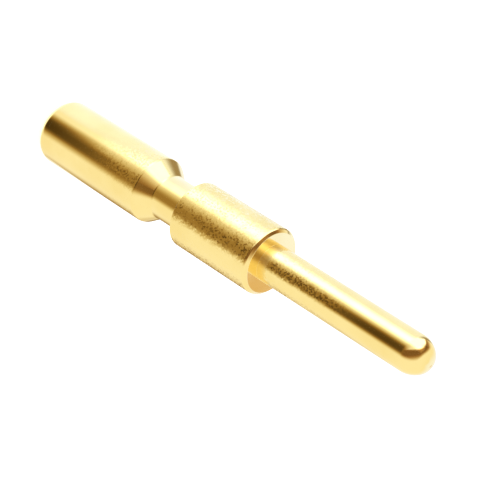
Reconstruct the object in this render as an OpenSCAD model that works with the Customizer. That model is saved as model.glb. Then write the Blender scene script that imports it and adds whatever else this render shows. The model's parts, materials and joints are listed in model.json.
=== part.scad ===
// Male crimp contact, turned from one bar and gold plated.
// It stands on the mouth of its crimp barrel, with the pin pointing up.

/* [Crimp barrel] */
// Outer diameter of the barrel
barrel_d = 4.5; // [4.2:0.1:6]
// Length of the barrel, from its mouth to the shoulder
barrel_l = 10; // [8:0.1:14]
// Rounding of the barrel's outer edge at the mouth
mouth_round = 0.8; // [0.1:0.05:0.8]
// Rounding of the barrel's edge at the shoulder
shoulder_round = 0.3; // [0.1:0.05:0.5]
// Length of the shoulder that slopes down to the neck
shoulder_l = 1.1; // [0.6:0.1:2]

/* [Wire bore] */
// Diameter of the bore that takes the stripped wire
bore_d = 2.25; // [1.5:0.05:2.5]
// Depth of the bore at its full diameter
bore_depth = 8; // [4:0.1:9]
// Point angle of the drill, seen at the bottom of the bore
drill_angle = 118; // [90:1:140]
// Countersink at the mouth, which leads the strands in
countersink = 0.1; // [0.05:0.05:0.2]

/* [Neck] */
// Diameter of the neck that a retaining clip snaps into
neck_d = 3; // [2.7:0.1:3.6]
// Length of the neck
neck_l = 2.6; // [1.5:0.1:6]
// Fillet at both ends of the neck
neck_fillet = 0.3; // [0.1:0.05:0.5]

/* [Collar] */
// Diameter of the collar that seats in the connector's insert
collar_d = 4.5; // [4.2:0.1:6]
// Length of the collar
collar_l = 6.9; // [3:0.1:10]
// Chamfer on the collar's front edge
front_chamfer = 0.22; // [0.05:0.01:0.5]
// Chamfer on the collar's rear edge
rear_chamfer = 0.06; // [0.05:0.01:0.3]

/* [Pin] */
// Diameter of the pin
pin_d = 2.5; // [1.6:0.1:3.2]
// Length of the pin, from the collar's face to the end of the tip
pin_l = 13; // [6:0.1:20]
// How much smaller the radius of the tip's nose is than the pin's
tip_ease = 0.1; // [0.05:0.01:0.2]

/* [Hidden] */
$fn = 96;
gold = [0.86, 0.66, 0.3];
overlap = 0.1;

barrel_r = barrel_d / 2;
bore_r = bore_d / 2;
neck_r = neck_d / 2;
collar_r = collar_d / 2;
pin_r = pin_d / 2;

neck_z = barrel_l + shoulder_l;
collar_z = neck_z + neck_l;
front_z = collar_z + collar_l;
tip_z = front_z + pin_l - pin_r - 2 * tip_ease;
drill_point = bore_r / tan(drill_angle / 2);

// The tip's side arc leaves the pin's wall and its nose arc crosses the axis. Their centres are the ends of
// a 3-4-5 triangle's long side, so that the arcs have a common tangent where they meet.
nose_r = pin_r - tip_ease;
nose_rise = 3 * tip_ease;
side_r = pin_r + 4 * tip_ease;
arcs_meet = nose_rise + 0.6 * nose_r;

function unit(v) = v / norm(v);

// The sliver between a sharp corner and the arc that rounds it, where a and b lie on the corner's two sides
module corner_sliver(corner, a, b, r) {
    to_a = unit(a - corner);
    to_b = unit(b - corner);
    half_angle = acos(to_a * to_b) / 2;
    run = r / tan(half_angle);
    inward = unit(to_a + to_b);
    centre = corner + inward * r / sin(half_angle);
    difference() {
        polygon([corner - inward * overlap, corner + to_a * run, centre, corner + to_b * run]);
        translate(centre) circle(r);
    }
}

// Barrel, shoulder and neck
module barrel_section() {
    mouth = [barrel_r, 0];
    shoulder = [barrel_r, barrel_l];
    neck_rear = [neck_r, neck_z];
    neck_front = [neck_r, collar_z];
    difference() {
        polygon([[0, 0], mouth, shoulder, neck_rear, neck_front, [0, collar_z]]);
        corner_sliver(mouth, [0, 0], shoulder, mouth_round);
        corner_sliver(shoulder, mouth, neck_rear, shoulder_round);
    }
    corner_sliver(neck_rear, shoulder, neck_front, neck_fillet);
    corner_sliver(neck_front, neck_rear, [collar_r, collar_z], neck_fillet);
}

// Blind bore with its countersunk mouth and drill point
module bore_section() {
    polygon([
        [0, -overlap],
        [bore_r + countersink + overlap, -overlap],
        [bore_r, countersink],
        [bore_r, bore_depth],
        [0, bore_depth + drill_point]
    ]);
}

// Collar with both edges broken
module collar_section() {
    polygon([
        [0, collar_z],
        [collar_r - rear_chamfer, collar_z],
        [collar_r, collar_z + rear_chamfer],
        [collar_r, front_z - front_chamfer],
        [collar_r - front_chamfer, front_z],
        [0, front_z]
    ]);
}

// Plain pin with its rounded tip
module pin_section() {
    translate([0, front_z]) square([pin_r, tip_z - front_z]);
    intersection() {
        translate([pin_r - side_r, tip_z]) circle(side_r);
        translate([0, tip_z]) square([pin_r, arcs_meet]);
    }
    intersection() {
        translate([0, tip_z + nose_rise]) circle(nose_r);
        translate([0, tip_z + arcs_meet]) square([pin_r, nose_r]);
    }
}

module crimp_contact() {
    color(gold)
    rotate_extrude()
    difference() {
        union() {
            barrel_section();
            collar_section();
            pin_section();
        }
        bore_section();
    }
}

crimp_contact();
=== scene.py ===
"""A gold-plated male crimp contact that stands on its barrel's mouth, on a white floor."""
import json
import math

import bpy
from mathutils import Matrix, Vector


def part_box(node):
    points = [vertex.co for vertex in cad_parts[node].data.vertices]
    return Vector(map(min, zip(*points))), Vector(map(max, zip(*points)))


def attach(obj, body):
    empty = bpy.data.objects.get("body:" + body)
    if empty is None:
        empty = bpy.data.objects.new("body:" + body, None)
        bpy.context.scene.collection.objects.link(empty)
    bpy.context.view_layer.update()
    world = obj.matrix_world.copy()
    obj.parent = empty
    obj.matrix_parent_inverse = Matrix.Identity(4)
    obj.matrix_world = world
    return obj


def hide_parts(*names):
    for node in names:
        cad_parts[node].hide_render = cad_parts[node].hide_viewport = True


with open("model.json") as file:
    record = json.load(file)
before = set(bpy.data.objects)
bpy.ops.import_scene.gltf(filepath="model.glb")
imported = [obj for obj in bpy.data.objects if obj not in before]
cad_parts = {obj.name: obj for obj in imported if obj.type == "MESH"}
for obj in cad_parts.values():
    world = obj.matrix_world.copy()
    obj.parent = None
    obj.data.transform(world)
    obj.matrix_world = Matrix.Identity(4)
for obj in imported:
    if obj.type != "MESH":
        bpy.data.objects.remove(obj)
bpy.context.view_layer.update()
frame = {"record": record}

MM = 0.001
NODE = "crimp_contact"

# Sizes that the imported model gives
mounts = {mount["name"]: mount for mount in frame["record"]["mounts"]}


def mount_span(name):
    """Radius of a round mount, and the heights where its wall starts and ends."""
    dims = mounts[name]["dims"]
    middle = mounts[name]["pos_m"][2]
    half = dims["length_mm"] * MM / 2
    return dims["r_mm"] * MM, middle - half, middle + half


body_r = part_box(NODE)[1].x
apex_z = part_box(NODE)[1].z
pin_r = mount_span("pin")[0]
collar_front_z = mounts["collar_face"]["pos_m"][2]
bore_r, countersink, bore_end_z = mount_span("wire_bore")

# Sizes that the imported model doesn't name, the same as in the part's source
barrel_l = 10 * MM
mouth_round = 0.8 * MM
shoulder_round = 0.3 * MM
shoulder_l = 1.1 * MM
neck_r = 1.5 * MM
neck_l = 2.6 * MM
neck_fillet = 0.3 * MM
front_chamfer = 0.22 * MM
rear_chamfer = 0.06 * MM
tip_ease = 0.1 * MM
drill_half_angle = math.radians(59)
pin_end_z = apex_z - pin_r - 2 * tip_ease

# Every edge that the source leaves sharp is rounded a little, so that it catches the light. The end of the
# collar's wall is the roundest.
edge_break = 0.03 * MM
front_round = 0.05 * MM
wall_end_round = 0.25 * MM
root_round = 0.01 * MM

# Fineness of the turned mesh
turn_steps = 192
arc_step = math.radians(5)
ring_gap = 0.4 * MM

# Camera, fitted to the photo: where the mouth's centre and the axis lie in the picture
IMAGE_PX = 480
SENSOR_MM = 36
FOCAL_PX = 1706.7
MOUTH_PX = (61.2, 128.7)
MOUTH_DEPTH = 115.7 * MM
AXIS_TURN = math.radians(32.48)
AXIS_LEAN = math.radians(36.34)


# The turned outline, walked from the bottom of the bore round the mouth to the tip

class Outline:
    """Points and outward normals of the section, as (radius, height) pairs, in walking order."""

    def __init__(self, start):
        self.points = []
        self.normals = []
        self.at = Vector(start)

    def add(self, point, heading):
        self.points.append(Vector(point))
        self.normals.append(Vector((math.sin(heading), -math.cos(heading))))
        self.at = Vector(point)

    def line(self, end):
        """Straight to end, with a ring every ring_gap."""
        way = Vector(end) - self.at
        heading = math.atan2(way.y, way.x)
        start = self.at.copy()
        steps = max(1, math.ceil(way.length / ring_gap))
        for i in range(steps + 1):
            self.add(start + way * i / steps, heading)

    def arc(self, heading, turn, radius):
        """From the present point, turning left by a positive angle and right by a negative one."""
        side = math.copysign(1, turn)
        left = Vector((-math.sin(heading), math.cos(heading)))
        centre = self.at + left * radius * side
        steps = max(2, math.ceil(abs(turn) / arc_step))
        for i in range(steps + 1):
            now = heading + turn * i / steps
            self.add(centre - Vector((-math.sin(now), math.cos(now))) * radius * side, now)


def turned_outline():
    """The section of the contact, with every corner rounded."""
    neck_z = barrel_l + shoulder_l
    collar_z = neck_z + neck_l
    drill_point = bore_r / math.tan(drill_half_angle)
    corners = [
        ((bore_r, bore_end_z), edge_break),
        ((bore_r, countersink), edge_break),
        ((bore_r + countersink, 0), edge_break),
        ((body_r, 0), mouth_round),
        ((body_r, barrel_l), shoulder_round),
        ((neck_r, neck_z), neck_fillet),
        ((neck_r, collar_z), neck_fillet),
        ((body_r - rear_chamfer, collar_z), edge_break),
        ((body_r, collar_z + rear_chamfer), edge_break),
        ((body_r, collar_front_z - front_chamfer), wall_end_round),
        ((body_r - front_chamfer, collar_front_z), front_round),
        ((pin_r, collar_front_z), root_round),
        ((pin_r, pin_end_z), 0),
    ]
    outline = Outline((0, bore_end_z + drill_point))
    for (corner, radius), (after, _) in zip(corners[:-1], corners[1:]):
        corner = Vector(corner)
        way_in = (corner - outline.at).normalized()
        way_out = (Vector(after) - corner).normalized()
        heading = math.atan2(way_in.y, way_in.x)
        turn = math.atan2(way_in.x * way_out.y - way_in.y * way_out.x, way_in.dot(way_out))
        outline.line(corner - way_in * radius * math.tan(abs(turn) / 2))
        outline.arc(heading, turn, radius)
    outline.line(corners[-1][0])
    # The tip: a side arc that leaves the wall and a nose arc over the axis, tangent where they meet
    side_turn = math.atan2(3, 4)
    up = math.pi / 2
    outline.arc(up, side_turn, pin_r + 4 * tip_ease)
    outline.arc(up + side_turn, up - side_turn, pin_r - tip_ease)
    return outline


def turned_mesh(name, outline):
    """The outline turned about the axis, closed at both ends, with the outline's own normals."""
    near = 1e-9
    points, normals = [], []
    for point, normal in zip(outline.points, outline.normals):
        if not points or (point - points[-1]).length > near:
            points.append(point)
            normals.append(normal)
    angles = [2 * math.pi * i / turn_steps for i in range(turn_steps)]
    verts, vert_normals, rings = [], [], []
    for i, (point, normal) in enumerate(zip(points, normals)):
        on_axis = i in (0, len(points) - 1)
        first = len(verts)
        for angle in angles[:1] if on_axis else angles:
            out = Vector((math.cos(angle), math.sin(angle)))
            r = 0 if on_axis else point.x
            verts.append((r * out.x, r * out.y, point.y))
            lean = 0 if on_axis else normal.x
            vert_normals.append(Vector((lean * out.x, lean * out.y, normal.y)).normalized())
        rings.append([first] * turn_steps if on_axis else list(range(first, first + turn_steps)))
    faces = []
    for lower, upper in zip(rings[:-1], rings[1:]):
        for i in range(turn_steps):
            j = (i + 1) % turn_steps
            corners = [lower[i], lower[j], upper[j], upper[i]]
            faces.append(list(dict.fromkeys(corners)))
    mesh = bpy.data.meshes.new(name)
    mesh.from_pydata(verts, [], faces)
    mesh.validate()
    mesh.shade_smooth()
    mesh.normals_split_custom_set_from_vertices(vert_normals)
    return mesh


# Node helpers

class Nodes:
    """Short calls that add nodes to one tree and link them."""

    def __init__(self, tree):
        tree.nodes.clear()
        self.tree = tree

    def add(self, kind, inputs=(), **settings):
        node = self.tree.nodes.new(kind)
        for key, value in settings.items():
            setattr(node, key, value)
        for key, value in dict(inputs).items():
            self.plug(value, node.inputs[key])
        return node

    def plug(self, value, socket):
        if isinstance(value, bpy.types.NodeSocket):
            self.tree.links.new(value, socket)
        elif value is not None:
            socket.default_value = value

    def math(self, operation, a, b=None):
        return self.add("ShaderNodeMath", {0: a, 1: b}, operation=operation).outputs[0]

    def ramp(self, value, start, end, low=0.0, high=1.0):
        """low before start, high after end and a smooth step between them; start may lie after end."""
        inputs = {"Value": value, "From Min": start, "From Max": end, "To Min": low, "To Max": high}
        return self.add("ShaderNodeMapRange", inputs, interpolation_type="SMOOTHSTEP").outputs["Result"]

    def mix(self, factor, a, b):
        node = self.add("ShaderNodeMix", data_type="RGBA")
        for value, index in ((factor, 0), (a, 6), (b, 7)):
            self.plug(value, node.inputs[index])
        return node.outputs[2]


def opaque(colour):
    """A colour with the alpha that a colour socket takes."""
    return (*colour, 1)


# The gold plating

GOLD = (1.0, 0.80, 0.33)
DEEP_GOLD = (0.97, 0.755, 0.285)
# A soft noise mixes the two golds, from the first to the second between two of its values
TINT_SIZE = 2.5 * MM
TINT_DETAIL = 3.0
TINT_VALUES = (0.35, 0.7)
POLISHED_ROUGHNESS = 0.10
GRAINY_ROUGHNESS = 0.13
# The pin is duller at its root, where a polishing tool doesn't reach. This fades out between two distances
# from the collar's face.
ROOT_ROUGHNESS = 0.35
ROOT_REACH = (0.5 * MM, 1.0 * MM)
# Fine facets speckle the outer walls, from the middle of the barrel to the first half of the pin. On the
# barrel and the collar they start between two radii, and on the pin between two distances from the collar's
# face.
GRAIN_RISE = (4 * MM, 16 * MM)
GRAIN_FALL = (22 * MM, 29 * MM)
GRAIN_SIZE = 0.1 * MM
WALL_START = (0.975 * body_r, 0.995 * body_r)
ROOT_CLEAR = (0.4 * MM, 1.4 * MM)
# The tint's noise makes them patchy: between two of its values they grow from a share to the whole
PATCH_VALUES = (0.2, 0.6)
PATCH_SHARES = (0.6, 1.0)
# Each facet's random value from 0 to 1, less the middle, times the tilt, is how far it leans. Most of the
# lean is along the axis.
GRAIN_MIDDLE = (0.5, 0.5, 0.37)
GRAIN_TILT = (0.035, 0.035, 0.4)
# Turning rings, the same all over. They are set by the height less a share of the radius, so that flat faces
# have them too.
RING_PITCH = 0.06 * MM
RING_HEIGHT = 0.00015 * MM
RING_DETAIL = 1.0
RING_ACROSS = 0.6


def gold_plating():
    """Bright gold over fine turning rings, with facets that come and go along the contact."""
    material = bpy.data.materials.new("gold_plating")
    material.use_nodes = True
    nodes = Nodes(material.node_tree)
    place = nodes.add("ShaderNodeTexCoord").outputs["Object"]
    axes = nodes.add("ShaderNodeSeparateXYZ", {0: place}).outputs
    radius = nodes.math("SQRT", nodes.math("ADD", nodes.math("MULTIPLY", axes["X"], axes["X"]),
                                           nodes.math("MULTIPLY", axes["Y"], axes["Y"])))
    height = axes["Z"]

    tint_noise = nodes.add("ShaderNodeTexNoise", {
        "Vector": place, "Scale": 1 / TINT_SIZE, "Detail": TINT_DETAIL}).outputs[0]
    tint = nodes.mix(nodes.ramp(tint_noise, *TINT_VALUES), opaque(GOLD), opaque(DEEP_GOLD))

    over_face = nodes.math("SUBTRACT", height, collar_front_z)
    on_pin = nodes.ramp(over_face, *ROOT_CLEAR)
    outer_wall = nodes.math("MAXIMUM", nodes.ramp(radius, *WALL_START), on_pin)
    zone = nodes.math("MULTIPLY", nodes.ramp(height, *GRAIN_RISE), nodes.ramp(height, *reversed(GRAIN_FALL)))
    patchy = nodes.ramp(tint_noise, *PATCH_VALUES, *PATCH_SHARES)
    grainy = nodes.math("MULTIPLY", nodes.math("MULTIPLY", zone, outer_wall), patchy)
    at_root = nodes.math("MULTIPLY", nodes.ramp(over_face, 0.0, root_round),
                         nodes.ramp(over_face, *reversed(ROOT_REACH)))
    roughness = nodes.math("MAXIMUM", nodes.ramp(grainy, 0.0, 1.0, POLISHED_ROUGHNESS, GRAINY_ROUGHNESS),
                           nodes.math("MULTIPLY", at_root, ROOT_ROUGHNESS))

    facets = nodes.add("ShaderNodeTexVoronoi", {"Vector": place, "Scale": 1 / GRAIN_SIZE}).outputs["Color"]
    tilt = nodes.add("ShaderNodeVectorMath", {0: facets, 1: GRAIN_MIDDLE}, operation="SUBTRACT").outputs[0]
    tilt = nodes.add("ShaderNodeVectorMath", {0: tilt, 1: GRAIN_TILT}, operation="MULTIPLY").outputs[0]
    tilt = nodes.add("ShaderNodeVectorMath", {0: tilt, "Scale": grainy}, operation="SCALE").outputs[0]
    smooth = nodes.add("ShaderNodeNewGeometry").outputs["Normal"]
    facing = nodes.add("ShaderNodeVectorMath", {0: smooth, 1: tilt}, operation="ADD").outputs[0]
    facing = nodes.add("ShaderNodeVectorMath", {0: facing}, operation="NORMALIZE").outputs[0]

    walk = nodes.math("SUBTRACT", height, nodes.math("MULTIPLY", radius, RING_ACROSS))
    rings = nodes.add("ShaderNodeTexNoise", {"W": walk, "Scale": 1 / RING_PITCH, "Detail": RING_DETAIL},
                      noise_dimensions="1D").outputs[0]
    bump = nodes.add("ShaderNodeBump", {
        "Height": rings, "Distance": RING_HEIGHT, "Strength": 1.0, "Normal": facing})
    shader = nodes.add("ShaderNodeBsdfPrincipled", {
        "Base Color": tint, "Metallic": 1.0, "Roughness": roughness, "Normal": bump.outputs["Normal"]})
    nodes.add("ShaderNodeOutputMaterial", {"Surface": shader.outputs[0]})
    return material


# The contact itself

contact = bpy.data.objects.new("turned_contact", turned_mesh("turned_contact", turned_outline()))
bpy.context.scene.collection.objects.link(contact)
contact.data.materials.append(gold_plating())
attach(contact, "root")
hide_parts(NODE)


# The studio: a white floor, plain white light, and soft areas on a near shell that only the metal sees

WHITE = (1.0, 1.0, 1.0)
FLOOR_REACH = 3.0
FLOOR_COLOUR = (0.85, 0.85, 0.85)
FLOOR_GLOW = 0.6
# The shell's middle lies to the left of the contact and behind it, so that the front of the shell is nearer
SHELL_RADIUS = 43 * MM
SHELL_MIDDLE = (-8.5 * MM, 14.7 * MM)
SHELL_HEIGHT = 250 * MM
SHELL_STEPS = 128
# Azimuth is measured in degrees from the camera's side, with the negative half at -X, and height from the
# floor. The shell is open between two azimuths and two heights. Through the opening the shoulder sees a far
# light with a dark spot in it, which is placed by azimuth and elevation in degrees.
OPENING_AZIMUTH = (-160, -88)
OPENING_HEIGHT = (-14 * MM, 24 * MM)
FAR_LIGHT = (1.0, 1.1, 1.4)
FAR_SPOT = {"azimuth": (-154, -138, -124, -88), "elevation": (-22, -14, 4, 10),
            "light": (0.37, 0.29, 0.2)}

# Soft areas of the shell, by azimuth and by height in millimetres. An area, like the spot, rises between the
# first two values and falls between the last two. One that slopes has its heights at azimuth 0 and climbs by
# its slope per degree.
ALL_ROUND = (-181, -180, 180, 181)
BELOW = (-900, -800)
BRIGHT_AREAS = {
    "pale_side": {"azimuth": (-175, -140, -62, -40), "height": (*BELOW, 6, 29), "light": (1.0, 1.1, 1.4)},
    "pale_rear": {"azimuth": (-178, -150, -75, -45), "height": (*BELOW, -36, -26),
                  "light": (1.02, 1.2, 1.56)},
    "beside_neck": {"azimuth": (-150, -125, -64, -50), "height": (-7, -5.6, -2.4, -1.2), "slope": 0.246,
                    "light": (1.03, 1.2, 1.95)},
    "underside": {"azimuth": ALL_ROUND, "height": (*BELOW, -110, -56), "light": (1.5, 1.6, 1.9)},
    "backdrop_left": {"azimuth": (-181, -180, -165, -125), "height": (4, 16, 90, 180),
                      "light": (1.0, 1.13, 1.75)},
    "backdrop_right": {"azimuth": (128, 168, 180, 181), "height": (4, 16, 90, 180),
                       "light": (1.0, 1.13, 1.75)},
    "window": {"azimuth": (-90, -54, -48, -22), "height": (-29, -7, 56, 66), "light": (2.3, 2.5, 3.0)},
    "window_end": {"azimuth": (-125, -95, -50, -30), "height": (14, 22, 40, 50), "light": (1.7, 1.9, 2.5)},
    "warm_corner": {"azimuth": (168, 174, 178.6, 180.6), "height": (56, 58, 62.5, 64.5),
                    "light": (0.75, 0.5, 0.2)},
}
# The share of the light that each dark area leaves. Where such areas meet, the darkest counts.
DARK_AREAS = {
    "side_band": {"azimuth": (-38, 12, 26, 54), "height": (-70, -40, 24, 36), "left": 0.34},
    "behind": {"azimuth": (113, 157, 167, 180), "height": (-42.5, -38, -16, -7), "left": 0.4},
    "behind_pin": {"azimuth": (108, 132, 160, 178), "height": (-22, -16, -2, 6), "left": 0.8},
}
# The share that is left of that where the dark band is deepest
DEEP_AREAS = {
    "rear": {"azimuth": (-37, -3, 18, 36), "height": (-70, -40, -24, -15), "left": 0.18},
    "barrel_front": {"azimuth": (-16, 8, 20, 36), "height": (-26, -18, -17, -9), "left": 0.5},
    "pin_end": {"azimuth": (-26, 2, 20, 44), "height": (5, 14.5, 17, 26), "left": 0.28},
}
# A dark arch over the window, between two lines. Each line has a top and drops with the square of the
# azimuth from there, to its left and right. The arch rises and falls between heights over its lines, ends
# between two azimuths on each side and stands on a soft foot.
ARCH_INNER = {"top": (-68, 52.5), "drop": (0.0133, 0.0052)}
ARCH_OUTER = {"top": (-65, 77), "drop": (0.013, 0.0039)}
ARCH_RISE = (-5, 4)
ARCH_FALL = (20, -15)
ARCH_ENDS = (-142, -102, 28, 54)
ARCH_FOOT = (10, 26)
ARCH_LEFT = 0.2
# Dim light is warmer: green and blue are raised to these powers, until the light is as low as WARM_DOWN_TO.
# It is redder higher up.
GREEN_POWER = (1.42, 1.55)
REDDER = (14, 31)
BLUE_POWER = 2.4
WARM_DOWN_TO = 0.3


def soft_span(nodes, value, ends):
    """1 between the inner ends and 0 beyond the outer ones."""
    return nodes.math("MULTIPLY", nodes.ramp(value, ends[0], ends[1]), nodes.ramp(value, ends[3], ends[2]))


def azimuth_of(nodes, axes):
    """The azimuth of a place or a direction that is split into its axes."""
    toward_camera = nodes.math("MULTIPLY", axes["Y"], -1.0)
    return nodes.math("DEGREES", nodes.math("ARCTAN2", axes["X"], toward_camera))


def soft_areas():
    """Even white light with the areas listed above, as a glowing material."""
    material = bpy.data.materials.new("soft_areas")
    material.use_nodes = True
    nodes = Nodes(material.node_tree)
    place = nodes.add("ShaderNodeTexCoord").outputs["Object"]
    place = nodes.add("ShaderNodeSeparateXYZ", {0: place}).outputs
    azimuth = azimuth_of(nodes, place)
    height = nodes.math("DIVIDE", place["Z"], MM)

    def spread(area):
        climb = nodes.math("MULTIPLY", azimuth, area.get("slope", 0.0))
        level = nodes.math("SUBTRACT", height, climb)
        return nodes.math("MULTIPLY", soft_span(nodes, azimuth, area["azimuth"]),
                          soft_span(nodes, level, area["height"]))

    def share_left(dark, left):
        return nodes.add("ShaderNodeMapRange", {
            "Value": dark, "To Min": 1.0, "To Max": left}).outputs["Result"]

    def above(line):
        """How far a place lies above a line that drops on both sides of its top."""
        aside = nodes.math("SUBTRACT", azimuth, line["top"][0])
        over_top = nodes.math("SUBTRACT", height, line["top"][1])
        for side, drop in zip(("MINIMUM", "MAXIMUM"), line["drop"]):
            square = nodes.math("POWER", nodes.math(side, aside, 0.0), 2.0)
            over_top = nodes.math("ADD", over_top, nodes.math("MULTIPLY", square, drop))
        return over_top

    light = opaque(WHITE)
    for area in BRIGHT_AREAS.values():
        light = nodes.mix(spread(area), light, opaque(area["light"]))
    inside = nodes.ramp(above(ARCH_INNER), *ARCH_RISE)
    outside = nodes.ramp(above(ARCH_OUTER), *ARCH_FALL)
    ends = nodes.math("MULTIPLY", soft_span(nodes, azimuth, ARCH_ENDS), nodes.ramp(height, *ARCH_FOOT))
    arch = nodes.math("MULTIPLY", nodes.math("MULTIPLY", inside, outside), ends)
    dim = share_left(arch, ARCH_LEFT)
    for area in DARK_AREAS.values():
        dim = nodes.math("MINIMUM", dim, share_left(spread(area), area["left"]))
    for area in DEEP_AREAS.values():
        dim = nodes.math("MULTIPLY", dim, share_left(spread(area), area["left"]))
    tinting = nodes.math("MAXIMUM", dim, WARM_DOWN_TO)
    plain = nodes.math("DIVIDE", dim, tinting)
    green_power = nodes.ramp(height, *REDDER, *GREEN_POWER)
    warm = nodes.add("ShaderNodeCombineColor", {
        "Red": dim, "Green": nodes.math("MULTIPLY", nodes.math("POWER", tinting, green_power), plain),
        "Blue": nodes.math("MULTIPLY", nodes.math("POWER", tinting, BLUE_POWER), plain)})
    light = nodes.add("ShaderNodeVectorMath", {0: light, 1: warm.outputs[0]},
                      operation="MULTIPLY").outputs[0]
    glow = nodes.add("ShaderNodeEmission", {"Color": light, "Strength": 1.0})
    nodes.add("ShaderNodeOutputMaterial", {"Surface": glow.outputs[0]})
    material.cycles.emission_sampling = "NONE"
    return material


def soft_shell():
    """A tube with a lid, round the contact, that carries the soft areas. Only the metal sees it."""
    heights = (-SHELL_HEIGHT, *OPENING_HEIGHT, SHELL_HEIGHT)
    verts, faces = [], []
    for i in range(SHELL_STEPS):
        angle = 2 * math.pi * i / SHELL_STEPS
        x = SHELL_MIDDLE[0] + SHELL_RADIUS * math.cos(angle)
        y = SHELL_MIDDLE[1] + SHELL_RADIUS * math.sin(angle)
        is_open = OPENING_AZIMUTH[0] < math.degrees(math.atan2(x, -y)) < OPENING_AZIMUTH[1]
        verts += [(x, y, z) for z in heights]
        here = i * len(heights)
        beside = (i + 1) % SHELL_STEPS * len(heights)
        # Bands below the opening, level with it and above it
        for band in (0, 2) if is_open else (0, 1, 2):
            faces.append((here + band, beside + band, beside + band + 1, here + band + 1))
    lid = range(len(heights) - 1, len(verts), len(heights))
    faces.append(lid)
    mesh = bpy.data.meshes.new("soft_shell")
    mesh.from_pydata(verts, [], faces)
    mesh.materials.append(soft_areas())
    shell = bpy.data.objects.new("soft_shell", mesh)
    shell.visible_camera = False
    shell.visible_diffuse = False
    shell.visible_shadow = False
    bpy.context.scene.collection.objects.link(shell)


def white_world():
    """Plain white light, which the camera sees as the background. The metal sees the far light instead."""
    world = bpy.data.worlds.new("white_world")
    world.use_nodes = True
    nodes = Nodes(world.node_tree)
    direction = nodes.add("ShaderNodeTexCoord").outputs["Generated"]
    direction = nodes.add("ShaderNodeSeparateXYZ", {0: direction}).outputs
    azimuth = azimuth_of(nodes, direction)
    elevation = nodes.math("DEGREES", nodes.math("ARCSINE", direction["Z"]))
    spot = nodes.math("MULTIPLY", soft_span(nodes, azimuth, FAR_SPOT["azimuth"]),
                      soft_span(nodes, elevation, FAR_SPOT["elevation"]))
    far = nodes.mix(spot, opaque(FAR_LIGHT), opaque(FAR_SPOT["light"]))
    seen_by_metal = nodes.add("ShaderNodeLightPath").outputs["Is Glossy Ray"]
    light = nodes.mix(seen_by_metal, opaque(WHITE), far)
    white = nodes.add("ShaderNodeBackground", {"Color": light, "Strength": 1.0})
    nodes.add("ShaderNodeOutputWorld", {"Surface": white.outputs[0]})
    bpy.context.scene.world = world


def white_floor():
    """A floor that keeps the contact's shadow. The metal sees the studio through it."""
    mesh = bpy.data.meshes.new("floor")
    reach = FLOOR_REACH
    mesh.from_pydata([(-reach, -reach, 0), (reach, -reach, 0), (reach, reach, 0), (-reach, reach, 0)], [],
                     [(0, 1, 2, 3)])
    material = bpy.data.materials.new("white_floor")
    material.use_nodes = True
    nodes = Nodes(material.node_tree)
    seen_by_camera = nodes.add("ShaderNodeLightPath").outputs["Is Camera Ray"]
    matt = nodes.add("ShaderNodeBsdfDiffuse", {"Color": opaque(FLOOR_COLOUR)})
    glow = nodes.add("ShaderNodeEmission", {"Color": opaque(WHITE),
                                            "Strength": nodes.math("MULTIPLY", seen_by_camera, FLOOR_GLOW)})
    both = nodes.add("ShaderNodeAddShader", {0: matt.outputs[0], 1: glow.outputs[0]})
    nodes.add("ShaderNodeOutputMaterial", {"Surface": both.outputs[0]})
    mesh.materials.append(material)
    floor = bpy.data.objects.new("floor", mesh)
    floor.visible_glossy = False
    bpy.context.scene.collection.objects.link(floor)


def photo_camera():
    """The photo's view: the axis turns and leans in the picture, with the mouth's centre at its pixel."""
    axis = Vector((math.cos(AXIS_LEAN) * math.cos(AXIS_TURN), -math.cos(AXIS_LEAN) * math.sin(AXIS_TURN),
                   math.sin(AXIS_LEAN)))
    back = Vector((0, 0, 1))
    depth_axis = (axis * back.dot(axis) - back).normalized()
    across = depth_axis.cross(axis)
    to_world = Matrix((across, depth_axis, axis))
    middle = (IMAGE_PX - 1) / 2
    mouth = MOUTH_DEPTH * Vector(((MOUTH_PX[0] - middle) / FOCAL_PX, (middle - MOUTH_PX[1]) / FOCAL_PX, -1))
    camera = bpy.data.objects.new("camera", bpy.data.cameras.new("camera"))
    camera.data.sensor_width = SENSOR_MM
    camera.data.lens = SENSOR_MM * FOCAL_PX / IMAGE_PX
    camera.data.clip_start = MOUTH_DEPTH / 100
    camera.data.clip_end = FLOOR_REACH * 10
    camera.matrix_world = Matrix.Translation(to_world @ -mouth) @ to_world.to_4x4()
    bpy.context.scene.collection.objects.link(camera)
    bpy.context.scene.camera = camera


white_world()
soft_shell()
white_floor()
photo_camera()
bpy.context.scene.view_settings.view_transform = "Standard"
